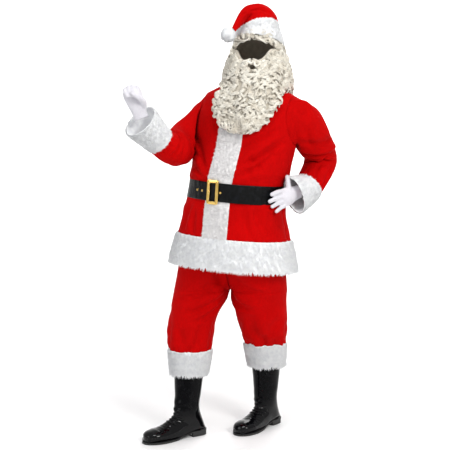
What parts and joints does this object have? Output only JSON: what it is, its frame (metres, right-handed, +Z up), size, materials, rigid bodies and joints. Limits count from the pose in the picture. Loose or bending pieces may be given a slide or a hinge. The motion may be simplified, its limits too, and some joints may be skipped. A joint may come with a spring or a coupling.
{
  "type": "santa costume",
  "caption": "Worn santa suit with fur trims, pompom hat, curly wig and beard, buckled belt, gloves and black boots, one arm raised, one hand on the hip.",
  "frame": {"origin": "base of the neck, midway between the shoulders, where the wearer carries the costume", "axes": "+Z up, -Y the front of the costume, +X the wearer's left"},
  "size_m": [0.7177, 0.7698, 1.8951],
  "materials": {
    "red_plush": "short brushed red plush",
    "white_fur": "white long-pile fur fabric",
    "curly_hair": "cream curled hair fibre",
    "black_vinyl": "glossy wrinkled black vinyl",
    "gold_metal": "polished gold-coloured metal",
    "white_knit": "fine white knit",
    "black_patent": "black patent leather look"
  },
  "bodies": {
    "root": {"beard": "curly_hair", "belt_buckle_frame": "gold_metal", "belt_eyelet_1": "gold_metal", "belt_eyelet_2": "gold_metal", "belt_eyelet_3": "gold_metal", "belt_strap": "black_vinyl", "hat_brim": "white_fur", "hat_crown": "red_plush", "hat_pompom": "white_fur", "jacket_back": "red_plush", "jacket_front_band": "white_fur", "jacket_hem_band": "white_fur", "jacket_left_front": "red_plush", "jacket_right_front": "red_plush", "left_boot_heel": "black_patent", "left_boot_lace_1": "black_patent", "left_boot_lace_2": "black_patent", "left_boot_lace_3": "black_patent", "left_boot_sole": "black_patent", "left_boot_upper": "black_patent", "left_glove": "white_knit", "left_sleeve": "red_plush", "left_sleeve_cuff": "white_fur", "right_boot_heel": "black_patent", "right_boot_lace_1": "black_patent", "right_boot_lace_2": "black_patent", "right_boot_lace_3": "black_patent", "right_boot_sole": "black_patent", "right_boot_upper": "black_patent", "right_glove": "white_knit", "right_sleeve": "red_plush", "right_sleeve_cuff": "white_fur", "trousers_left_back": "red_plush", "trousers_left_front": "red_plush", "trousers_left_leg_cuff": "white_fur", "trousers_right_back": "red_plush", "trousers_right_front": "red_plush", "trousers_right_leg_cuff": "white_fur", "trousers_waistband": "red_plush", "wig": "curly_hair"}
  },
  "joints": []
}
